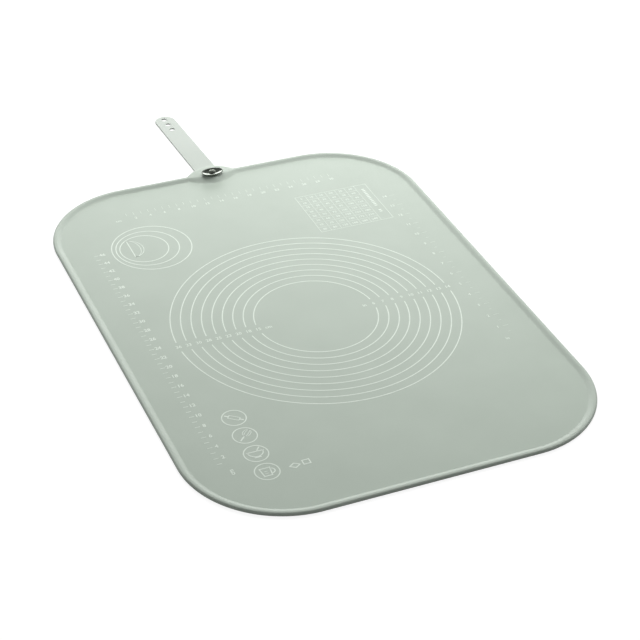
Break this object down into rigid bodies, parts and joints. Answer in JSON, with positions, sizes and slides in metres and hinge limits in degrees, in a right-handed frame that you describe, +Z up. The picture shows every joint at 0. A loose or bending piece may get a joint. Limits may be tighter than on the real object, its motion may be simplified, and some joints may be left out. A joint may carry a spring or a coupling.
{
  "type": "baking mat",
  "caption": "Roll-up silicone baking mat with a raised edge bead, a lug with a metal stud and a folding closing strap with holes.",
  "frame": {"origin": "middle of the sheet's underside, on the table", "axes": "+Z up out of the printed side, +Y along the mat towards the strap, +X to the right"},
  "size_m": [0.5, 0.8778, 0.013],
  "materials": {
    "silicone_sheet": "satin sage-grey silicone with pale printed measuring lines",
    "silicone_bead": "satin sage-grey silicone",
    "silicone_strap": "satin sage-grey silicone",
    "polished_steel": "polished",
    "plain_steel": "plain"
  },
  "bodies": {
    "mat": {"mat_sheet": "silicone_sheet", "edge_bead": "silicone_bead", "stud_cup": "polished_steel", "stud_knob": "polished_steel", "stud_backing": "plain_steel"},
    "strap": {"strap": "silicone_strap"}
  },
  "joints": [
    {"name": "strap_fold", "type": "hinge", "parent": "mat", "child": "strap", "pos_m": [-0.00125, 0.36847, 0.002], "axis": [0.999, 0.0454, 0], "range_deg": [0, 125]}
  ]
}
